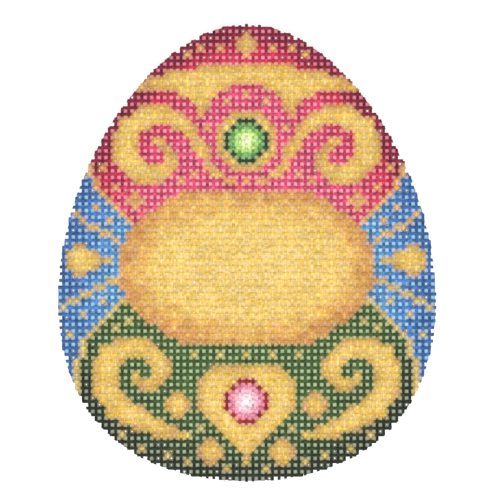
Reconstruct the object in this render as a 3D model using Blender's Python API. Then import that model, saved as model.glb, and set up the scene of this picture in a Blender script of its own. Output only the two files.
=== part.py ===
import math

import bmesh
import bpy

# Sizes in metres. X runs across the egg, Y up to its narrow end, Z out of the painted face.

# Open plain-weave canvas: warp threads run along Y, weft threads along X
INCH = 0.0254
MESH_COUNT = 18  # warp threads to the inch
WARP_PITCH = INCH / MESH_COUNT
WEFT_PITCH = 0.001444  # the weft is beaten in a little more loosely than the warp is set
THREAD_WIDTH = 0.00066  # sized and painted cotton, pressed to an oval
SHEET_THICKNESS = 0.00092  # two threads, one over the other
GROOVE_DEPTH = 0.00023  # how far the cloth drops between neighbouring threads
GROOVE_FLOOR = 0.00036  # width of the flat floor between two threads

# Cut outline: an ellipse whose width is divided by 1 + taper * t + nose * t ** 3, with t from -1 at
# the broad end to +1 at the narrow end
EGG_LENGTH = 0.0986
EGG_WIDTH = 0.0815
EGG_TAPER = 0.20
EGG_NOSE = 0.058
OUTLINE_SIDES = 144

# Painted cotton, an average of the gold, rose, blue and green paint
PAINT_COLOUR = (0.62, 0.45, 0.20, 1.0)
PAINT_ROUGHNESS = 0.82
PAINT_METALLIC = 0.0


def clear_scene():
    for thing in list(bpy.data.objects):
        bpy.data.objects.remove(thing, do_unlink=True)


def add_object(name, bm):
    mesh = bpy.data.meshes.new(name)
    bmesh.ops.recalc_face_normals(bm, faces=bm.faces[:])
    bm.to_mesh(mesh)
    bm.free()
    thing = bpy.data.objects.new(name, mesh)
    bpy.context.scene.collection.objects.link(thing)
    return thing


def add_prism(name, loop, along):
    """A closed prism: the loop of 3-D points as one end, moved by the vector along for the other."""
    bm = bmesh.new()
    end = bm.faces.new([bm.verts.new(point) for point in loop])
    side = bmesh.ops.extrude_face_region(bm, geom=[end])["geom"]
    moved = [part for part in side if isinstance(part, bmesh.types.BMVert)]
    bmesh.ops.translate(bm, verts=moved, vec=along)
    return add_object(name, bm)


def egg_outline(height):
    """The cut edge as a loop of points at one height."""
    places = []
    for side in range(OUTLINE_SIDES):
        angle = 2 * math.pi * side / OUTLINE_SIDES
        t = math.sin(angle)
        places.append((math.cos(angle) / (1 + EGG_TAPER * t + EGG_NOSE * t**3), t))
    widest = max(across for across, t in places)
    return [(EGG_WIDTH / 2 * across / widest, EGG_LENGTH / 2 * t, height) for across, t in places]


def ribbed_edge(pitch, reach):
    """Points (place, depth) of a row of threads in section, depth 0 on each flat crest.

    One thread is centred on 0, and the row runs just past reach on either side."""
    threads = math.ceil(reach / pitch)
    crest = THREAD_WIDTH / 2
    floor = (pitch - GROOVE_FLOOR) / 2
    edge = []
    for thread in range(-threads, threads + 1):
        middle = thread * pitch
        edge += [(middle - floor, GROOVE_DEPTH), (middle - crest, 0.0)]
        edge += [(middle + crest, 0.0), (middle + floor, GROOVE_DEPTH)]
    return edge


def add_weft_side(spare):
    """Everything under the painted face, whose ribs are the weft threads."""
    edge = ribbed_edge(WEFT_PITCH, EGG_LENGTH / 2)
    half = EGG_WIDTH / 2 + spare
    loop = [(-half, place, SHEET_THICKNESS - depth) for place, depth in edge]
    loop += [(-half, edge[-1][0], -spare), (-half, edge[0][0], -spare)]
    return add_prism("weft_side", loop, (2 * half, 0, 0))


def add_warp_side(spare):
    """Everything over the back, whose ribs are the warp threads."""
    edge = ribbed_edge(WARP_PITCH, EGG_WIDTH / 2)
    half = EGG_LENGTH / 2 + spare
    loop = [(place, -half, depth) for place, depth in edge]
    top = SHEET_THICKNESS + spare
    loop += [(edge[-1][0], -half, top), (edge[0][0], -half, top)]
    return add_prism("warp_side", loop, (0, 2 * half, 0))


def keep_common(thing, cutter):
    """Keeps what both solids share, and leaves the cutter as a hidden guide."""
    cutter.hide_render = True
    cutter.display_type = "WIRE"
    cut = thing.modifiers.new(cutter.name, "BOOLEAN")
    cut.operation = "INTERSECT"
    cut.solver = "EXACT"
    cut.object = cutter


def paint_material():
    material = bpy.data.materials.new("painted_cotton")
    material.use_nodes = True
    shader = material.node_tree.nodes["Principled BSDF"]
    shader.inputs["Base Color"].default_value = PAINT_COLOUR
    shader.inputs["Roughness"].default_value = PAINT_ROUGHNESS
    shader.inputs["Metallic"].default_value = PAINT_METALLIC
    return material


def build_canvas():
    spare = SHEET_THICKNESS  # how far each guide solid runs past what it shapes
    outline = egg_outline(-spare)
    canvas = add_prism("canvas", outline, (0, 0, SHEET_THICKNESS + 2 * spare))
    keep_common(canvas, add_weft_side(spare / 2))
    keep_common(canvas, add_warp_side(spare / 2))
    canvas.data.materials.append(paint_material())
    return canvas


clear_scene()
build_canvas()
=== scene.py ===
import math

import bpy
import numpy as np
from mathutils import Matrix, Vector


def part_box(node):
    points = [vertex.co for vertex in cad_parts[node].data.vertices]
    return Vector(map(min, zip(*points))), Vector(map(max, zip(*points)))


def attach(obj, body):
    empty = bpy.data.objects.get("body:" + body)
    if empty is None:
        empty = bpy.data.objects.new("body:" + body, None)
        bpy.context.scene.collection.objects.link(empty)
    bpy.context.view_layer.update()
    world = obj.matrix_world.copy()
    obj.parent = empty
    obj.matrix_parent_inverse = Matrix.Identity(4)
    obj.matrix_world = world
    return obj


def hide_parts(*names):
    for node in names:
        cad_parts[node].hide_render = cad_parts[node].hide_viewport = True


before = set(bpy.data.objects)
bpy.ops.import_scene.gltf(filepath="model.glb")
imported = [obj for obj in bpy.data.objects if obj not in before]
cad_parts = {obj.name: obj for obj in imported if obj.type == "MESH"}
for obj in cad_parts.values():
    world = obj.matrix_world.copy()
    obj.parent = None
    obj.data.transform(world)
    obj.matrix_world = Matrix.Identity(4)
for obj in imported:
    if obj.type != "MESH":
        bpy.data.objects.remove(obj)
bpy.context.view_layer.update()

clothLow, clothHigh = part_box("canvas")

# Lengths are in metres. A place on the painted design is counted in threads from the middle of the
# egg: across is the number of a warp thread, up is the number of a weft thread.

cloth = {
    "warpPitch": 0.0254 / 18,  # eighteen warp threads to the inch
    "weftPitch": 0.001441,
    "warpsEachSide": 29,
    "weftsEachSide": 34,
    "warpShift": -0.00012,  # where thread number 0 lies beside the egg's middle
    "weftShift": -0.00031,
    "eggLength": clothHigh.y - clothLow.y,
    "eggWidth": clothHigh.x - clothLow.x,
    "eggTaper": 0.20,  # how much faster the egg narrows upwards than downwards
    "eggNose": 0.058,  # how much that grows towards its ends
    "eggArea": 0.00626,  # in square metres
    "outlineSteps": 1801,  # heights at which the cut outline is worked out
    # Uneven beating of the loom: (weft number, how far that weft lies above its even place)
    "beat": [
        (-33, -0.00012), (-20, -0.00004), (-11, 0), (-5, 0.00009), (0, 0.0002), (3, 0.00013),
        (9, 0.00006), (18, -0.00002), (22, -0.00006), (27, 0.00011), (31, -0.00014),
    ],
}
tiny = 1e-9  # keeps a division from failing at 0

thread = {
    "warpWidth": 0.00062,
    "weftWidth": 0.00067,
    "height": (clothHigh.z - clothLow.z) / 2,
    "sides": 8,
    "ringsPerPitch": 4,
    "squareness": 4.5,  # 2 is an oval, more is boxier
    "widthDrift": 0.06,
    "sideDrift": 0.00003,
    "waves": (96, 156),  # least and most of the waves in that drift, in radians for each metre
    "sideWave": 2.7,  # the other waves of the drift and of the width, as shares of the first
    "widthWave": 3.1,
    "cutDrift": 0.00014,  # how unevenly the scissors cut the threads
    "cutSlant": 0.0001,  # most that one side of a cut end stands out before its middle
    "endRoom": 0.3,  # least way from a cut end to the next ring, as a share of the way between two rings
    "tipRoom": 0.6,  # least way from a thread to the tip of the egg, as a share of its width
    "paintEnd": 0.9,  # how far down its section the paint reaches, as a share of its half height
    "paintFade": 0.8,  # and over how much of it the paint thins out
    "seed": 7,
}

chance = np.random.RandomState(thread["seed"])

view = {
    "pictureSize": 500,
    "warpPitchPx": 6.54,
    "eggMiddlePx": (247.0, 252.9),
    "lens": 200,
    "sensor": 36,
}


def makeCamera():
    metresPerPx = cloth["warpPitch"] / view["warpPitchPx"]
    data = bpy.data.cameras.new("camera")
    data.lens = view["lens"]
    data.sensor_width = view["sensor"]
    camera = bpy.data.objects.new("camera", data)
    bpy.context.scene.collection.objects.link(camera)
    x = (view["pictureSize"] / 2 - view["eggMiddlePx"][0]) * metresPerPx
    y = (view["eggMiddlePx"][1] - view["pictureSize"] / 2) * metresPerPx
    height = view["pictureSize"] * metresPerPx * view["lens"] / view["sensor"]
    camera.location = (x, y, clothHigh.z + height)
    bpy.context.scene.camera = camera


makeCamera()
print("camera over the cloth")

studio = {
    "lamps": {  # place, size and power of each lamp, all turned to the cloth
        "keyLight": ((0, -0.02, 0.9), 0.18, 7.9),
        "lowLight": ((0, -0.75, 0.4), 0.30, 2.3),
    },
    "skyStrength": 0.06,
    "floorAcross": 4.0,
    "floorDrop": 0.00002,
    "floorColour": (0.93, 0.93, 0.93),
    "floorRoughness": 0.9,
    "floorShine": 0.1,
}


def makeStudio():
    for name, (place, size, power) in studio["lamps"].items():
        light = bpy.data.lights.new(name, "AREA")
        light.shape = "DISK"
        light.size = size
        light.energy = power
        lamp = bpy.data.objects.new(name, light)
        lamp.location = place
        lamp.rotation_euler = lamp.location.to_track_quat("Z", "Y").to_euler()
        bpy.context.scene.collection.objects.link(lamp)

    world = bpy.data.worlds.new("softSky")
    world.use_nodes = True
    sky = world.node_tree.nodes["Background"]
    sky.inputs["Color"].default_value = (1, 1, 1, 1)
    sky.inputs["Strength"].default_value = studio["skyStrength"]
    bpy.context.scene.world = world
    bpy.context.scene.view_settings.view_transform = "Standard"

    half = studio["floorAcross"] / 2
    mesh = bpy.data.meshes.new("floor")
    corners = [(-half, -half, 0), (half, -half, 0), (half, half, 0), (-half, half, 0)]
    mesh.from_pydata(corners, [], [(0, 1, 2, 3)])
    floor = bpy.data.objects.new("floor", mesh)
    floor.location.z = clothLow.z - studio["floorDrop"]
    bpy.context.scene.collection.objects.link(floor)
    paper = bpy.data.materials.new("paleFloor")
    paper.use_nodes = True
    shader = paper.node_tree.nodes["Principled BSDF"]
    shader.inputs["Base Color"].default_value = (*studio["floorColour"], 1)
    shader.inputs["Roughness"].default_value = studio["floorRoughness"]
    shader.inputs["Specular IOR Level"].default_value = studio["floorShine"]
    mesh.materials.append(paper)


makeStudio()
print("studio light and floor")


def eggTurn(t):  # what the width of an ellipse is divided by, with t from -1 to 1 up the egg
    return 1 + cloth["eggTaper"] * t + cloth["eggNose"] * t**3


heights = np.sin(np.linspace(-math.pi / 2, math.pi / 2, cloth["outlineSteps"]))
halfWidths = np.sqrt(1 - heights**2) / eggTurn(heights)
widest = halfWidths.argmax()
shoulder = cloth["eggWidth"] / 2 / halfWidths[widest]


def eggHalfWidth(y):
    return np.interp(y / (cloth["eggLength"] / 2), heights, halfWidths * shoulder)


def eggSpan(x):  # the lowest and highest y at this x
    share = np.abs(x) / shoulder
    lowest = np.interp(share, halfWidths[: widest + 1], heights[: widest + 1])
    highest = np.interp(share, halfWidths[widest:][::-1], heights[widest:][::-1])
    return lowest * cloth["eggLength"] / 2, highest * cloth["eggLength"] / 2


def sideSpan(y):
    half = eggHalfWidth(y)
    return -half, half


def warpPlace(number):
    return cloth["warpShift"] + number * cloth["warpPitch"]


def weftPlace(number):
    rows, rises = zip(*cloth["beat"])
    return cloth["weftShift"] + number * cloth["weftPitch"] + np.interp(number, rows, rises)


# Acrylic paints, as red, green and blue from 0 to 255
paints = {
    "maroon": (131, 31, 56),
    "crimson": (193, 43, 74),
    "rose": (205, 60, 96),
    "pink": (209, 74, 111),
    "navy": (55, 102, 162),
    "blue": (66, 121, 185),
    "sky": (83, 145, 197),
    "blackPine": (40, 48, 36),
    "pine": (58, 79, 48),
    "leaf": (67, 93, 50),
    "goldLight": (237, 205, 105),
    "gold": (229, 192, 83),
    "goldShade": (212, 168, 84),
    "goldEdge": (198, 156, 106),
    "dotGold": (216, 190, 102),
    "dotAmber": (226, 174, 90),
    "filmPeach": (248, 208, 160),
    "filmCream": (255, 252, 242),
    "ovalHeart": (236, 206, 112),
    "ovalRim": (225, 174, 84),
    "ovalEdge": (207, 147, 80),
    "emeraldLine": (42, 68, 48),
    "emerald": (74, 150, 78),
    "lime": (196, 232, 128),
    "limeLight": (244, 248, 206),
    "rubyLine": (150, 38, 48),
    "rubyPink": (231, 136, 163),
    "rubyPale": (242, 194, 206),
    "white": (250, 234, 231),
    "cotton": (232, 226, 210),
}


def linear(name):  # a paint as linear light
    share = np.array(paints[name]) / 255
    return np.where(share <= 0.04045, share / 12.92, ((share + 0.055) / 1.055) ** 2.4)


def ramp(value, stops):  # a colour for each value, blended between (place, paint) stops
    places = [place for place, name in stops]
    colours = np.array([linear(name) for place, name in stops])
    return np.stack([np.interp(value, places, colours[:, k]) for k in range(3)], -1)


across, up = np.meshgrid(
    np.arange(-cloth["warpsEachSide"], cloth["warpsEachSide"] + 1),
    np.arange(-cloth["weftsEachSide"], cloth["weftsEachSide"] + 1),
    indexing="ij",
)
side = np.abs(across)  # the design is the same on the left and on the right
paint = np.zeros((*across.shape, 3))
plain, outlined, golden, stone = 0, 1, 2, 3
kind = np.full(across.shape, plain)


def softNoise(blurs, size):  # seeded noise over the crossings, about -size to size
    noise = chance.uniform(-1, 1, across.shape)
    for _ in range(blurs):
        wide = np.pad(noise, 1, mode="edge")
        noise = (wide[:-2, 1:-1] + wide[2:, 1:-1] + wide[1:-1, :-2] + wide[1:-1, 2:] + 2 * noise) / 6
    return noise * size / max(np.abs(noise).max(), tiny)


def edgeDepth(x, y):  # how many threads a place lies inside the cut edge
    beside = (eggHalfWidth(y) - np.abs(x)) / cloth["warpPitch"]
    lowest, highest = eggSpan(x)
    endwise = np.minimum(highest - y, y - lowest) / cloth["weftPitch"]
    inside = (beside > 0) & (endwise > 0)
    return np.where(inside, beside * endwise / np.maximum(np.hypot(beside, endwise), tiny), 0)


depth = edgeDepth(warpPlace(across), weftPlace(up))


def lay(mask, colour, sort=plain):  # paints the masked crossings
    paint[mask] = colour[mask] if colour.ndim == 3 else colour
    kind[mask] = sort


fineGold = ramp(up, [(-8, "dotGold"), (8, "dotAmber")])  # gold of dots and lines, warmer over pink


def smoothPath(points, steps=12):  # a smooth curve through (across, up, half width) points
    p = np.array([points[0], *points, points[-1]], float)
    share = np.linspace(0, 1, steps, endpoint=False)[:, None]
    runs = []
    for k in range(1, len(p) - 2):
        a, b, c, d = p[k - 1 : k + 3]
        bend = 2 * a - 5 * b + 4 * c - d
        turn = 3 * b - a - 3 * c + d
        runs.append(b + share * (c - a) / 2 + share**2 * bend / 2 + share**3 * turn / 2)
    return np.vstack([*runs, p[-1:]])


def strokeReach(path):  # how far each crossing lies inside a brush stroke and its mirror image
    reach = np.full(across.shape, -np.inf)
    for x, y, half in path:
        reach = np.maximum(reach, half - np.hypot(side - x, up - y))
    return reach


# The gold line around each blue field: two straight runs above the oval and two below it, each as a
# corner (across, up) and threads out for each thread away from the oval
blueLines = {
    "upper": ((18.0, 5), 1.0, (22.9, 10), 0.5),
    "lower": ((19.0, -7), 1.0, (25.0, -13), 0.17),
}
oval = {
    "middle": (0, -2),
    "half": (19.6, 12.8),
    "flatHalf": 11.5,  # it is cut off straight above and below
    "stops": [(0.4, "ovalEdge"), (2.2, "ovalRim"), (5.5, "goldLight"), (9, "ovalHeart")],
    "blotches": 0.6,  # uneven paint, in threads along those stops
    "specks": 1.6,
}
fields = {  # paints of each field, by threads from the cut edge
    "blue": [(-3, "navy"), (0, "blue"), (5, "sky")],
    "red": [(1.8, "maroon"), (3.2, "crimson"), (6, "rose"), (10, "pink")],
    "green": [(1.5, "blackPine"), (4.5, "pine"), (9, "leaf")],
    "sideFade": 6,  # threads to the side that darken the blue like one thread nearer to the edge
}
lineHalf = 0.5  # half the width of a gold line, in threads


def blueLine(part):  # how far to the side the gold line is, at each crossing's row
    (x, y), slope, (cornerX, cornerY), steep = blueLines[part]
    inner, outer = x + slope * np.abs(up - y), cornerX + steep * np.abs(up - cornerY)
    return np.where(np.abs(up) < abs(cornerY), inner, outer)


def ovalShare():  # 1 on the oval's edge, less inside it
    (x, y), (a, b) = oval["middle"], oval["half"]
    return np.where(np.abs(up - y) > oval["flatHalf"], 2, np.hypot((across - x) / a, (up - y) / b))


def paintFields():  # blue at the sides, red above and green below, with gold lines between them
    lay(depth > -1, ramp(depth - side / fields["sideFade"], fields["blue"]))
    above, below = up >= blueLines["upper"][0][1], up <= blueLines["lower"][0][1]
    for part, beyond, field in (("upper", above, "red"), ("lower", below, "green")):
        away = side - blueLine(part)
        lay((away < 0) & beyond, ramp(depth, fields[field]))
        lay((np.abs(away) <= lineHalf) & beyond, fineGold, golden)


band = {
    "topRow": 28.6,
    "topBend": 0.011,
    "cuspAcross": 6.3,
    "cuspRow": 20.3,
    "archRise": 5.0,
    "outerSpan": 10,
    "outerRise": 4.5,
}


def paintBand():  # the gold band under the cap, with a cusp on each side of an arch
    top = band["topRow"] - band["topBend"] * side**2
    arch = band["archRise"] * np.sqrt(np.clip(1 - (side / band["cuspAcross"]) ** 2, 0, 1))
    out = np.clip(1 - (side - band["cuspAcross"]) / band["outerSpan"], 0, 1)
    outer = band["outerRise"] * np.sqrt(1 - out**2)
    bottom = band["cuspRow"] + np.where(side < band["cuspAcross"], arch, outer)
    lay((up <= top) & (up >= bottom), linear("gold"), golden)


# Brush strokes as (across, up, half width), on the right side of the egg
strokes = {
    "upperScroll": [
        (4.4, 12.1, 0.7), (5.5, 13.2, 0.8), (6.3, 14.5, 0.8), (6.7, 15.5, 0.9), (7.4, 16.6, 0.9),
        (8.2, 17.8, 1.0), (9.4, 19.1, 1.2), (10.8, 20.2, 1.4), (12.9, 20.8, 1.55), (15.3, 20.6, 1.6),
        (17.1, 19.5, 1.7), (18.4, 17.8, 1.8), (18.6, 16, 1.8), (18.2, 14.2, 2.0), (16.8, 12.7, 1.9),
        (15, 11.9, 1.7), (13.2, 12.3, 1.4), (11.6, 13.7, 1.05), (11.6, 15, 0.9), (12.4, 16.1, 0.85),
        (13.6, 16.9, 0.7),
    ],
    "lowerScroll": [
        (17.2, -18.1, 0.5), (15.8, -19.4, 0.9), (14.2, -19.2, 1.2), (13.1, -17.6, 1.3), (13.6, -15.6, 1.5),
        (15.8, -14.2, 1.6), (18, -13.9, 1.6), (20, -14.8, 1.9), (21.4, -16.4, 1.9), (21.6, -18.5, 1.9),
        (21.3, -20.5, 1.9), (20.1, -22.2, 1.95), (18.3, -23.6, 1.9), (15.6, -25.0, 1.6), (13, -26.1, 1.3),
        (9.7, -27, 0.8),
    ],
}


def paintScrolls():
    for points in strokes.values():
        lay(strokeReach(smoothPath(points)) > 0, linear("gold"), golden)


rays = {
    "upper": [(26.2, 6.1, 0.5), (25, 5, 0.5), (23.6, 4, 0.5), (21.5, 3, 0.5), (20, 2, 0.5)],
    "lower": [(28.4, -8.1, 0.5), (26.5, -7, 0.5), (24.5, -6, 0.5), (22.5, -5, 0.5), (20.3, -4, 0.5)],
}
drop = {"tip": 20.3, "middle": (25.4, -1), "radius": 2.3}


def paintSides():  # two rays and a drop of gold on each side of the oval
    for points in rays.values():
        lay(strokeReach(smoothPath(points)) > 0, fineGold, golden)
    (x, y), radius = drop["middle"], drop["radius"]
    lay(np.hypot(side - x, up - y) < radius, linear("gold"), golden)
    taper = (side - drop["tip"]) / (x - drop["tip"])
    lay((taper > 0) & (taper < 1) & (np.abs(up - y) < radius * taper), linear("gold"), golden)


def paintOval():
    share, (x, y) = np.maximum(ovalShare(), 0.01), oval["middle"]  # never 0, for the division below
    inwards = (np.hypot(across - x, up - y) + 0.1) * (1 / share - 1)  # threads from the oval's edge
    blotches, specks = softNoise(2, oval["blotches"]), softNoise(0, oval["specks"])
    lay(share < 1, ramp(inwards + blotches + specks, oval["stops"]), golden)


shield = {
    "topRow": -16.5,
    "tipRow": -31.5,
    "widest": 7.5,
    "shoulderRow": -20.5,
    "shoulderRise": 4.6,
    "shoulderPower": 3,
    "waistRow": -22,
    "fall": 8.9,
    "fallPower": 1.25,
    "leastHalf": 0.4,
}


def paintShield():
    rise = np.clip((up - shield["shoulderRow"]) / shield["shoulderRise"], 0, 1)
    fall = np.clip((shield["waistRow"] - up) / shield["fall"], 0, 1)
    bulge, taper = np.sqrt(1 - rise ** shield["shoulderPower"]), 1 - fall ** shield["fallPower"]
    half = np.maximum(shield["widest"] * bulge * taper, shield["leastHalf"])
    inside = (side <= half) & (up < shield["topRow"]) & (up > shield["tipRow"])
    lay(inside, linear("gold"), golden)


gems = [
    {
        "middle": (0, 17),
        "setting": 4.7,
        "outline": 3.6,
        "stone": 2.75,
        "line": "emeraldLine",
        "stops": [(0.3, "limeLight"), (1.4, "lime"), (2.4, "emerald")],
    },
    {
        "middle": (0, -22),
        "setting": 0,
        "outline": 3.6,
        "stone": 2.75,
        "line": "rubyLine",
        "stops": [(0.3, "white"), (1.4, "rubyPale"), (2.3, "rubyPink")],
    },
]


def paintGems():
    for gem in gems:
        x, y = gem["middle"]
        away = np.hypot(across - x, up - y)
        lay(away < gem["setting"], linear("gold"), golden)
        lay(away < gem["outline"], linear(gem["line"]), outlined)
        lay(away < gem["stone"], ramp(away, gem["stops"]), stone)


dots = [  # single gold crossings, as (across, up)
    (7, 31), (4, 31), (9, 30), (0, 24), (3, 23), (7, 21), (6, 19), (22, 13), (8, 12), (10, 11),
    (0, 11), (2, 11), (3, 11), (20, 10), (23, 7), (21, 5), (22, -7), (25, -9), (18, -10), (20, -11),
    (27, -12), (0, -15), (4, -15), (8, -15), (7, -26), (19, -27), (16, -29), (12, -30), (9, -31),
    (3, -32),
]
diamonds = [(0, 31.5, 1.9), (17, 8, 1.5), (10.5, -22.5, 2.5), (5.5, -29.5, 2.5)]  # (across, up, reach)


def paintDots():
    for x, y in dots:
        lay((side == x) & (up == y), fineGold, golden)
    for x, y, reach in diamonds:
        lay(np.abs(side - x) + np.abs(up - y) < reach, fineGold, golden)


brushwork = {
    "goldStops": [(-0.1, "goldEdge"), (0.35, "goldShade"), (0.75, "gold"), (1.15, "goldLight")],
    "edgeShare": 0.45,  # share of painted crossings around one at a gold edge, twice that well inside
    "wideShare": 0.5,  # only crossings with more than this around them are shaded
    "lighter": 0.07,
    "goldBlotches": 0.4,
    "specks": 0.22,  # unevenness from crossing to crossing
    "goldSpecks": 0.3,  # share of it in gold, gems and their outlines
    "blotches": 0.06,
}


def shadeGold():  # browner gold along the edge of a gold shape, lighter in its middle
    inner = np.pad((kind > plain) * 1.0, 1, mode="edge")
    steps = [(x, y) for x in (-1, 0, 1) for y in (-1, 0, 1)]
    near = sum(np.roll(inner, step, (0, 1)) for step in steps)[1:-1, 1:-1] / len(steps)
    edge, uneven = brushwork["edgeShare"], softNoise(1, brushwork["goldBlotches"])
    share = np.clip((near - edge) / edge, 0, 1) + brushwork["lighter"] + uneven
    wide = (kind == golden) & (ovalShare() >= 1) & (near > brushwork["wideShare"])
    paint[wide] = ramp(share, brushwork["goldStops"])[wide]


def paintDesign():
    paintFields()
    paintBand()
    paintScrolls()
    paintSides()
    paintOval()
    paintShield()
    paintGems()
    paintDots()
    shadeGold()
    specks = np.where(kind == plain, 1, brushwork["goldSpecks"]) * softNoise(0, brushwork["specks"])
    uneven = specks + softNoise(2, brushwork["blotches"])
    paint[:] *= (1 + uneven)[..., None]


paintDesign()
print("design laid out on", across.size, "crossings")


# A mesh from arrays: for each point its place, colour and share of paint over bare cotton, then sets of
# faces as point numbers, and for each face corner a place on the bake map and one along the thread
def makeMesh(name, points, colours, cover, faceSets, bakeSets, runSets, material):
    mesh = bpy.data.meshes.new(name)
    mesh.from_pydata(points.tolist(), [], [face for faces in faceSets for face in faces.tolist()])
    values = np.ones((len(points), 4), np.float32)
    values[:, :3] = colours
    mesh.color_attributes.new("paint", "FLOAT_COLOR", "POINT").data.foreach_set("color", values.ravel())
    layer = mesh.attributes.new("cover", "FLOAT", "POINT")
    layer.data.foreach_set("value", np.asarray(cover, np.float32))
    for mapName, sets in (("OFBake", bakeSets), ("threadRun", runSets)):
        places = np.vstack([one.reshape(-1, 2) for one in sets]).astype(np.float32)
        mesh.uv_layers.new(name=mapName).data.foreach_set("uv", places.ravel())
    mesh.uv_layers["OFBake"].active_render = True
    mesh.polygons.foreach_set("use_smooth", np.ones(len(mesh.polygons), bool))
    mesh.materials.append(material)
    mesh.update()
    piece = bpy.data.objects.new(name, mesh)
    bpy.context.scene.collection.objects.link(piece)
    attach(piece, "root")
    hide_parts("canvas")
    print(name, "has", sum((faces.shape[1] - 2) * len(faces) for faces in faceSets), "triangles")
    return piece


def makeSection():  # shares of the thread's half width and half height around its section
    turn = np.arange(thread["sides"]) * 2 * math.pi / thread["sides"]
    power = 2 / thread["squareness"]
    c, s = np.cos(turn), np.sin(turn)
    return np.sign(c) * np.abs(c) ** power, np.sign(s) * np.abs(s) ** power


sectionOut, sectionUp = makeSection()


def cutEnds(beside, warp):  # where the scissors cut one thread, at each point of its section
    ends = []
    for end in eggSpan(beside) if warp else sideSpan(beside):
        slant = np.clip(end - end.mean(), -thread["cutSlant"], thread["cutSlant"])
        ends.append(end.mean() + slant + chance.uniform(-1, 1) * thread["cutDrift"])
    return ends


def ringPlaces(low, high, warp):  # metres along the thread for each ring, and the crossings they are at
    each = cloth["weftsEachSide"] if warp else cloth["warpsEachSide"]
    count = thread["ringsPerPitch"]
    crossing = np.arange(-(each + 1) * count, (each + 1) * count + 1) / count
    run = weftPlace(crossing) if warp else warpPlace(crossing)
    room = thread["endRoom"] * cloth["warpPitch"] / count
    kept = (run > low.max() + room) & (run < high.min() - room)
    run, crossing = run[kept], crossing[kept]
    pitch = cloth["weftPitch"] if warp else cloth["warpPitch"]
    first = crossing[0] - (run[0] - low.mean()) / pitch
    last = crossing[-1] + (high.mean() - run[-1]) / pitch
    return np.array([low.mean(), *run, high.mean()]), np.array([first, *crossing, last])


def threadRings(number, warp):  # the rings of one thread, from one cut end to the other
    middle = warpPlace(number) if warp else weftPlace(number)
    broad = thread["warpWidth" if warp else "weftWidth"]
    low, high = cutEnds(middle + sectionOut * broad / 2, warp)
    run, crossing = ringPlaces(low, high, warp)
    phase, wave = chance.uniform(0, 2 * math.pi, 2), chance.uniform(*thread["waves"])
    sway = np.sin(run * wave + phase[0]) + np.sin(run * wave * thread["sideWave"] + phase[1])
    drift = thread["sideDrift"] * sway / 2
    swell = np.sin(run * wave * thread["widthWave"] + phase[1])
    width = broad / 2 * (1 + thread["widthDrift"] * swell)
    half = thread["height"] / 2
    lift = half * np.cos(math.pi * (crossing + number)) * (1 if warp else -1)
    beside = middle + drift[:, None] + width[:, None] * sectionOut
    height = clothLow.z + thread["height"] + lift[:, None] + half * sectionUp
    along = np.repeat(run[:, None], thread["sides"], 1)
    along[0], along[-1] = low, high
    return np.stack((beside, along, height) if warp else (along, beside, height), -1), run, crossing


def threadFaces(count, flip):  # the wall of a tube of rings, then its two ends
    sides = thread["sides"]
    ring, point = np.meshgrid(np.arange(count - 1), np.arange(sides), indexing="ij")
    a, b = ring * sides + point, ring * sides + (point + 1) % sides
    wall = np.stack([a, b, b + sides, a + sides], -1).reshape(-1, 4)
    ends = np.stack([np.arange(sides)[::-1], (count - 1) * sides + np.arange(sides)])
    return (wall[:, ::-1], ends[:, ::-1]) if flip else (wall, ends)


# Each thread has a strip on the bake map: its wall between two margins, a cut end in either margin
strips = {
    "wallAlong": (0.03, 0.94),  # start and length of the wall, as shares of the strip
    "wallUp": (0.08, 0.84),
    "endAlong": (0.012, 0.988),  # middles of the two cut ends
    "endReach": (0.01, 0.4),  # half size of a cut end, along and up
    "endRun": (0.0003, 0.2),  # the same on the map along the thread
}


def threadMaps(count, run, strip, flip, number):  # places on the bake map and along the thread
    sides = thread["sides"]
    ring, point = np.meshgrid(np.arange(count - 1), np.arange(sides), indexing="ij")
    span = run[-1] - run[0]
    turns = np.stack([point, point + 1, point + 1, point], -1).reshape(-1, 4) / sides
    runs = np.stack([run[ring], run[ring], run[ring + 1], run[ring + 1]], -1).reshape(-1, 4)
    (left, length), (low, rise) = strips["wallAlong"], strips["wallUp"]
    bakeWall = np.stack([left + length * (runs - run[0]) / span, (strip + low + rise * turns) / number], -1)
    runWall = np.stack([runs, turns], -1)
    angle = np.arange(sides) * 2 * math.pi / sides
    circle = np.stack([np.cos(angle), np.sin(angle)], -1)
    centres = np.array([[place, (strip + 0.5) / number] for place in strips["endAlong"]])
    reachAlong, reachUp = strips["endReach"]
    bakeEnds = centres[:, None] + circle * (reachAlong, reachUp / number)
    runEnds = np.array([[run[0], 0.5], [run[-1], 0.5]])[:, None] + circle * strips["endRun"]
    bakeEnds[0], runEnds[0] = bakeEnds[0][::-1], runEnds[0][::-1]
    if flip:
        return bakeWall[:, ::-1], runWall[:, ::-1], bakeEnds[:, ::-1], runEnds[:, ::-1]
    return bakeWall, runWall, bakeEnds, runEnds


# How the paint turns out on each set of threads: the tint of gold, and how much darker a thread is halfway
# from one crossing to the next, partly thinner paint and partly painted shade where the thread dips down, in
# gold and elsewhere
brushed = {
    "warp": {
        "goldTint": np.array((0.02, -0.01, 0.52)),
        "goldBetweenThinAndShaded": 0.94,
        "goldStreaks": 0.26,
        "between": 0.8,
        "streaks": 0.5,
    },
    "weft": {
        "goldTint": np.array((-0.01, -0.02, -0.02)),
        "goldBetweenThinAndShaded": 0.86,
        "goldStreaks": 0.18,
        "between": 0.88,
        "streaks": 0.36,
    },
    "nudges": (0.4, 0.6),  # the paint is read a little before and after a place, for soft ends
    "crossingTint": 0.35,  # share of the gold tint that is there at the crossings
    "ground": 0.025,  # how much of the pale ground shows between the crossings
    "hueDrift": np.array((0.02, 0.09, 0.5)),  # gold is peachy here and lemony there
}


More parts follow.
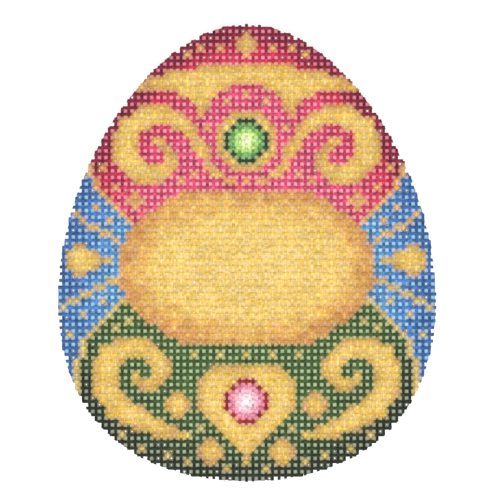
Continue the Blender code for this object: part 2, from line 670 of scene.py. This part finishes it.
def paintOn(strand, warps, wefts):  # the colour at places along a thread
    gold = (kind == golden)[..., None]
    colour, share = 0, 0
    for nudge in brushed["nudges"]:
        i = np.clip(np.floor(warps + nudge).astype(int) + cloth["warpsEachSide"], 0, paint.shape[0] - 1)
        j = np.clip(np.floor(wefts + nudge).astype(int) + cloth["weftsEachSide"], 0, paint.shape[1] - 1)
        colour, share = colour + paint[i, j] / 2, share + gold[i, j] / 2
    away = 2 * np.abs(warps - np.round(warps) + wefts - np.round(wefts))[:, None]
    own = brushed[strand]
    tint = own["goldTint"] * (brushed["crossingTint"] + (1 - brushed["crossingTint"]) * away)
    between = own["between"] * (1 - share) + own["goldBetweenThinAndShaded"] * share
    streaks = own["streaks"] * (1 - share) + own["goldStreaks"] * share
    # halfway from one crossing to the next each thread is darker: thinner paint, and painted shade where it
    # dips down
    colour = colour * (1 + tint * share) * (1 - (1 - between) * away)
    colour = colour + brushed["ground"] * away * colour.max(-1, keepdims=True)
    colour = colour * (1 + streaks * chance.uniform(-1, 1, share.shape))
    return colour * (1 + brushed["hueDrift"] * share * chance.uniform(-1, 1, share.shape))


def weave(name, warp, material):  # all the threads that run one way, as one piece
    each = cloth["warpsEachSide"] if warp else cloth["weftsEachSide"]
    reach = (cloth["eggWidth"] if warp else cloth["eggLength"]) / 2
    room = thread["tipRoom"] * thread["weftWidth"]
    points, colours, walls, ends, maps = [], [], [], [], []
    first = 0
    for number in range(-each, each + 1):
        if abs(warpPlace(number) if warp else weftPlace(number)) + room > reach:
            continue
        rings, run, crossing = threadRings(number, warp)
        wall, caps = threadFaces(len(run), warp)
        points.append(rings.reshape(-1, 3))
        walls.append(wall + first)
        ends.append(caps + first)
        first += len(points[-1])
        same = np.full(len(run), number)
        colour = paintOn("warp", same, crossing) if warp else paintOn("weft", crossing, same)
        colours.append(np.repeat(colour, thread["sides"], 0))
        maps.append(threadMaps(len(run), run, number + each, warp, 2 * each + 1))
    painted = np.clip((sectionUp + thread["paintEnd"]) / thread["paintFade"], 0, 1)
    cover = np.tile(painted, first // thread["sides"])
    bakeWalls, runWalls, bakeEnds, runEnds = (np.vstack(places) for places in zip(*maps))
    faceSets, bakes, runs = [np.vstack(walls), np.vstack(ends)], [bakeWalls, bakeEnds], [runWalls, runEnds]
    print(name, "woven from", len(maps), "threads")
    return makeMesh(name, np.vstack(points), np.vstack(colours), cover, faceSets, bakes, runs, material)


webs = {
    "tuck": 0.00009,  # how far each web runs into the threads beside it
    "rim": (0.00036, 0.00060),  # heights of its lower and upper rim
    "lip": 0.00048,  # height of the edge around its opening
    "skin": (0.00042, 0.00050),  # heights of a closed web's middle
    "smallest": 0.00007,  # an opening with a smaller radius is closed
    "openShare": (0.06, 0.3),  # share of the webs that leave an opening: in plain fields, along the cut edge
    "edgeBand": (1, 5),  # threads from the cut edge, over which plain openings take over
    "strayPaint": 0.3,  # a web is closed when more than this share of its crossings isn't plain
    "openPlain": 0.00016,
    "openEdge": 0.00020,
    "openDrift": 0.00004,
    "openRoom": 0.8,  # most of an opening's radius, as a share of the way to the cut edge
    "thinRadius": 0.00025,  # of the thin middle of a closed web
    "roundDrift": 0.12,  # how far the edge of an opening or thin middle is from round
    "backCover": 0.45,  # share of paint over cotton on the back of a web
    "thinHue": 0.4,  # how much of the threads' hue and darkness is left in thin paint
    "thinDark": 0.3,
    "thinGolden": 0.95,  # density of the paint in a web inside gold or a gem
    "rimShare": 0.82,  # how much of the threads' own paint is on the rim
    "peach": 0.44,  # share of the peach undercoat that shows in gold webs
    "margin": (0.00035, 0.00024),  # webs nearer to the cut edge are left out: plain ones, golden ones
    "goldSunkShade": (0.77, 0.7),  # brightness of gold in a web against its threads, darkened as painted shade for the web lying sunk below them: in the oval, elsewhere
    "unevenness": 0.09,
}


def meanAround(values):  # the mean over the four crossings around each opening
    values = np.asarray(values, float)
    return (values[:-1, :-1] + values[1:, :-1] + values[:-1, 1:] + values[1:, 1:]) / 4


def drawIn(x, y):  # pulls a place outside the cut edge back to it, towards the egg's middle
    for _ in range(3):  # each round comes closer, as the width there changes with y
        t = y / (cloth["eggLength"] / 2)
        pull = 1 / np.maximum(np.hypot(x / shoulder * eggTurn(t), t), 1)
        x, y = x * pull, y * pull
    return x, y


def nearEdge():  # 1 along the cut edge, 0 from the inner side of the edge band
    outer, inner = webs["edgeBand"]
    return np.clip(1 - (meanAround(depth) - outer) / (inner - outer), 0, 1)


def webColours():  # the paint on the rim and in the thin middle of each web
    gold, filled = (kind == golden)[..., None], (kind > outlined)[..., None]
    strong = paint.max(-1, keepdims=True)
    pale = (paint / strong) ** webs["thinHue"] * strong ** webs["thinDark"] * linear("filmCream")
    peach = linear("filmPeach") * paint.mean(-1, keepdims=True) / linear("gold").mean()
    dense = paint ** webs["thinGolden"]
    # painted shade: gold in a web is darkened because the web lies sunk below its threads
    sunkShade = np.where(ovalShare() < 1, *webs["goldSunkShade"])[..., None]
    dense = np.where(gold, (dense + (peach - dense) * webs["peach"]) * sunkShade, dense)
    thick, thin, share = meanAround(paint), meanAround(np.where(filled, dense, pale)), meanAround(gold)
    thin = thin * (1 + webs["unevenness"] * chance.uniform(-1, 1, share.shape))
    thin = thin * (1 + brushed["hueDrift"] * share * chance.uniform(-1, 1, share.shape))
    return thin + (thick - thin) * webs["rimShare"], thin


def webRadius(distance):  # the radius of each opening, by its distance from the cut edge
    radius = webs["openPlain"] + (webs["openEdge"] - webs["openPlain"]) * nearEdge()
    radius = radius + chance.uniform(-1, 1, radius.shape) * webs["openDrift"]
    inField, alongEdge = webs["openShare"]
    share = inField + (alongEdge - inField) * nearEdge()
    stray = meanAround(kind > plain) > webs["strayPaint"]
    shut = stray | (chance.uniform(0, 1, radius.shape) > share)
    return np.minimum(np.where(shut, 0, radius), webs["openRoom"] * distance)


webSides = 8  # four corners and the middles of the four sides between them
tiles = {  # each web's own tile on the bake map, and the rows of its faces as shares of its height
    "margin": 0.06,
    "inside": 0.88,
    "slope": (0, 0.3),  # from the upper rim to the edge of the thin middle
    "heart": (0.3, 0.4),  # the thin middle
    "under": (0.4, 0.8),  # the back
    "wall": (0.85, 1),  # between the lower and the upper rim
}


def webTiles(column, row, low, high, corners):  # a row of faces on the tile of each web
    k = np.arange(webSides)
    places = [k, k + 1, k + 1, k] if corners == 4 else [k, k + 1, k + 0.5]
    span = np.stack(places, -1) / webSides
    rise = np.array([low, low, high, high][:corners]) + 0 * span
    u = (column[:, None, None] + tiles["margin"] + tiles["inside"] * span) / (paint.shape[0] - 1)
    v = (row[:, None, None] + tiles["margin"] + tiles["inside"] * rise) / (paint.shape[1] - 1)
    return np.stack([u, v], -1).reshape(-1, corners, 2)


def webFaces(opened):  # faces of one web as point numbers, each with its row on the web's tile
    k = np.arange(webSides)
    after = (k + 1) % webSides
    low, lip, heart, heartLow = webSides * np.array([1, 2, 3, 3]) + (0, 0, 0, 1)  # first point of each ring
    slope = (k, after, after + lip, k + lip), tiles["slope"]
    wall = (k + low, after + low, after, k), tiles["wall"]
    if opened:
        return [slope, wall, ((k + lip, after + lip, after + low, k + low), tiles["under"])]
    middle = (k + lip, after + lip, 0 * k + heart), tiles["heart"]
    under = (after + low, k + low, 0 * k + heartLow), tiles["under"]
    return [slope, wall, middle, under]


# The paint in the openings of the mesh: a thin skin closes most of them, and those that stay open, in
# the plain fields and more often along the cut edge, have a rounded rim of paint
def paintWebs(material):
    x, y = warpPlace(across[:-1, :-1] + 0.5), meanAround(weftPlace(up))
    distance = edgeDepth(x, y) * cloth["warpPitch"]
    radius, (rimColour, thinColour) = webRadius(distance), webColours()
    halfX = (cloth["warpPitch"] - thread["warpWidth"]) / 2 + webs["tuck"]
    halfY = (weftPlace(up[:-1, 1:]) - weftPlace(up[:-1, :-1]) - thread["weftWidth"]) / 2 + webs["tuck"]
    angle = np.arange(webSides) * 2 * math.pi / webSides
    c, s = np.cos(angle), np.sin(angle)
    cornerX, cornerY, centre = np.sign(c.round(6)), np.sign(s.round(6)), np.zeros(1)
    plainMargin, goldenMargin = webs["margin"]
    margin = np.where(meanAround(kind > outlined) > 0.5, goldenMargin, plainMargin)
    points, colours, covers, faceSets, bakes, first = [], [], [], [], [], 0
    for opened in (True, False):
        keep = (distance > margin) & ((radius >= webs["smallest"]) == opened)
        column, row = np.nonzero(keep)
        ragged = 1 + webs["roundDrift"] * chance.uniform(-1, 1, (len(row), webSides))
        reach = (radius[keep] if opened else np.full(len(row), webs["thinRadius"]))[:, None] * ragged
        outY = cornerY * halfY[keep][:, None]
        rings = [  # places around the middle of the web, height, paint and share of paint over cotton
            (cornerX * halfX, outY, webs["rim"][1], rimColour, 1.0),
            (cornerX * halfX, outY, webs["rim"][0], rimColour, webs["backCover"]),
            (reach * c, reach * s, webs["lip"], thinColour, 1.0),
        ]
        if not opened:
            rings.append((centre, centre, webs["skin"][1], thinColour, 1.0))
            rings.append((centre, centre, webs["skin"][0], thinColour, webs["backCover"]))
        web, shades, cover = [], [], []
        for placeX, placeY, height, shade, share in rings:
            placeX, placeY = drawIn(x[keep][:, None] + placeX, y[keep][:, None] + placeY)
            web.append(np.stack([placeX, placeY, clothLow.z + height + 0 * placeX], -1))
            shades.append(np.repeat(shade[keep][:, None], placeX.shape[1], 1))
            cover += [share] * placeX.shape[1]
        points.append(np.concatenate(web, 1).reshape(-1, 3))
        colours.append(np.concatenate(shades, 1).reshape(-1, 3))
        covers.append(np.tile(cover, len(row)))
        starts = first + np.arange(len(row)) * len(cover)
        for face, band in webFaces(opened):
            faceSets.append((starts[:, None, None] + np.stack(face, -1)).reshape(-1, len(face)))
            bakes.append(webTiles(column, row, *band, len(face)))
        first += len(points[-1])
    points, colours, covers = np.vstack(points), np.vstack(colours), np.concatenate(covers)
    return makeMesh("paintWebs", points, colours, covers, faceSets, bakes, bakes, material)


cotton = {
    "patchiness": 0.22,
    "bleed": 0.25,  # paint that shows on the underside
    # strength of the painted shade and highlight on the plies
    "twistPaintedShade": 0.05,
    "bump": 0.35,
    "bumpDistance": 0.00003,
    "sheen": 0.1,
    "shine": 0.25,
    "roughness": (0.62, 0.9),
    "twistTurns": 900.0,  # ridges for each metre of thread
    "twistSlant": 2.0,  # and for each turn around it
    "fuzz": 0.6,  # how far the ridges wander
    "fuzzScale": 2600.0,
    "grainScale": 1500.0,
    "patchScale": 160.0,
    "raggedness": 0.8,  # of the edge between paint and bare cotton
    "coverRange": (0.1, 0.6),  # shares of paint that are bare cotton and full paint
}


def newGroup(name, inputs, outputs):  # a node group, with what it is given and what it puts out
    group = bpy.data.node_groups.new(name, "ShaderNodeTree")
    for title, sort, value in inputs:
        group.interface.new_socket(title, in_out="INPUT", socket_type=sort).default_value = value
    for title, sort in outputs:
        group.interface.new_socket(title, in_out="OUTPUT", socket_type=sort)
    return group, group.nodes.new("NodeGroupInput").outputs, group.nodes.new("NodeGroupOutput").inputs


def addNode(tree, sort, settings=None, **values):  # i0, i1 and i2 are inputs by number
    node = tree.nodes.new(sort)
    for key, value in (settings or {}).items():
        setattr(node, key, value)
    for key, value in values.items():
        socket = node.inputs[int(key[1:])] if key[0] == "i" and key[1:].isdigit() else node.inputs[key]
        if isinstance(value, bpy.types.NodeSocket):
            tree.links.new(value, socket)
        else:
            socket.default_value = value
    return node


def addMath(tree, operation, *values):
    inputs = {f"i{k}": value for k, value in enumerate(values)}
    return addNode(tree, "ShaderNodeMath", {"operation": operation}, **inputs).outputs[0]


def addNoise(tree, scale, detail):
    coords = addNode(tree, "ShaderNodeTexCoord").outputs["Object"]
    return addNode(tree, "ShaderNodeTexNoise", Scale=scale, Detail=detail, Vector=coords).outputs["Fac"]


def addScaled(tree, colour, share):
    return addNode(tree, "ShaderNodeVectorMath", {"operation": "SCALE"}, i0=colour, Scale=share).outputs[0]


# The cotton's plies: slanted ridges that wind around the thread, as a height and a painted shade, lighter on
# the ridges and darker in the grooves
def makeTwistGroup():
    group, given, result = newGroup(
        "threadTwist",
        [
            ("Turns", "NodeSocketFloat", cotton["twistTurns"]),
            ("Slant", "NodeSocketFloat", cotton["twistSlant"]),
            ("Depth", "NodeSocketFloat", cotton["twistPaintedShade"]),
        ],
        [("Height", "NodeSocketFloat"), ("PliesPaintedShade", "NodeSocketFloat")],
    )
    place = addNode(group, "ShaderNodeUVMap", {"uv_map": "threadRun"})
    parts = addNode(group, "ShaderNodeSeparateXYZ", Vector=place.outputs["UV"])
    along = addMath(group, "MULTIPLY", parts.outputs["X"], given["Turns"])
    around = addMath(group, "MULTIPLY", parts.outputs["Y"], given["Slant"])
    turn = addMath(group, "ADD", along, around)
    loose = addMath(group, "MULTIPLY_ADD", addNoise(group, cotton["fuzzScale"], 2.0), cotton["fuzz"], turn)
    ply = addMath(group, "SINE", addMath(group, "MULTIPLY", loose, 2 * math.pi))
    # painted shade: the ridges are lighter and the grooves darker
    shade = addMath(group, "MULTIPLY", ply, given["Depth"])
    group.links.new(ply, result["Height"])
    group.links.new(addMath(group, "ADD", shade, 1.0), result["PliesPaintedShade"])
    return group


# Paint brushed over the cloth: it is thick here and thin there, and fades into bare cotton underneath
def makePaintGroup():
    group, given, result = newGroup(
        "brushedPaint",
        [
            ("Patchiness", "NodeSocketFloat", cotton["patchiness"]),
            ("Bleed", "NodeSocketFloat", cotton["bleed"]),
            ("Cotton", "NodeSocketColor", (*linear("cotton"), 1)),
        ],
        [("Color", "NodeSocketColor"), ("Roughness", "NodeSocketFloat"), ("Height", "NodeSocketFloat")],
    )
    paintNode = addNode(group, "ShaderNodeAttribute", {"attribute_name": "paint"})
    coverNode = addNode(group, "ShaderNodeAttribute", {"attribute_name": "cover"})
    grain = addNoise(group, cotton["grainScale"], 3.0)
    patches = addNoise(group, cotton["patchScale"], 2.0)
    centred = addMath(group, "SUBTRACT", addMath(group, "ADD", grain, patches), 1.0)
    spread = addMath(group, "MULTIPLY_ADD", centred, given["Patchiness"], 1.0)
    density = addScaled(group, paintNode.outputs["Color"], spread)
    ragged = addMath(group, "MULTIPLY_ADD", centred, cotton["raggedness"], coverNode.outputs["Fac"])
    covered = addNode(group, "ShaderNodeMapRange", Value=ragged)
    covered.inputs["From Min"].default_value, covered.inputs["From Max"].default_value = cotton["coverRange"]
    group.links.new(given["Bleed"], covered.inputs["To Min"])
    mixed = addNode(
        group, "ShaderNodeMix", {"data_type": "RGBA"}, Factor=covered.outputs[0], A=given["Cotton"], B=density
    )
    rough = addNode(group, "ShaderNodeMapRange", Value=grain)
    rough.inputs["To Min"].default_value, rough.inputs["To Max"].default_value = cotton["roughness"]
    group.links.new(mixed.outputs["Result"], result["Color"])
    group.links.new(rough.outputs[0], result["Roughness"])
    group.links.new(grain, result["Height"])
    return group


def paintedMaterial(name, paintGroup, twistGroup=None):
    material = bpy.data.materials.new(name)
    material.use_nodes = True
    tree = material.node_tree
    shader = tree.nodes["Principled BSDF"]
    shader.inputs["Specular IOR Level"].default_value = cotton["shine"]
    shader.inputs["Sheen Weight"].default_value = cotton["sheen"]
    coat = addNode(tree, "ShaderNodeGroup", {"node_tree": paintGroup}, Patchiness=cotton["patchiness"],
                   Bleed=cotton["bleed"], Cotton=(*linear("cotton"), 1))
    colour, height = coat.outputs["Color"], coat.outputs["Height"]
    if twistGroup:
        plies = addNode(tree, "ShaderNodeGroup", {"node_tree": twistGroup}, Depth=cotton["twistPaintedShade"])
        # the plies' painted shade darkens the grooves and lightens the ridges
        colour = addScaled(tree, colour, plies.outputs["PliesPaintedShade"])
        height = addMath(tree, "ADD", height, plies.outputs["Height"])
    bump = addNode(
        tree, "ShaderNodeBump", Strength=cotton["bump"], Distance=cotton["bumpDistance"], Height=height
    )
    tree.links.new(colour, shader.inputs["Base Color"])
    tree.links.new(coat.outputs["Roughness"], shader.inputs["Roughness"])
    tree.links.new(bump.outputs["Normal"], shader.inputs["Normal"])
    return material


brushedPaint = makePaintGroup()
threadTwist = makeTwistGroup()
threadPaint = paintedMaterial("threadPaint", brushedPaint, threadTwist)
webPaint = paintedMaterial("webPaint", brushedPaint)
print("paint materials")

warpThreads = weave("warpThreads", True, threadPaint)
weftThreads = weave("weftThreads", False, threadPaint)
paintFilm = paintWebs(webPaint)
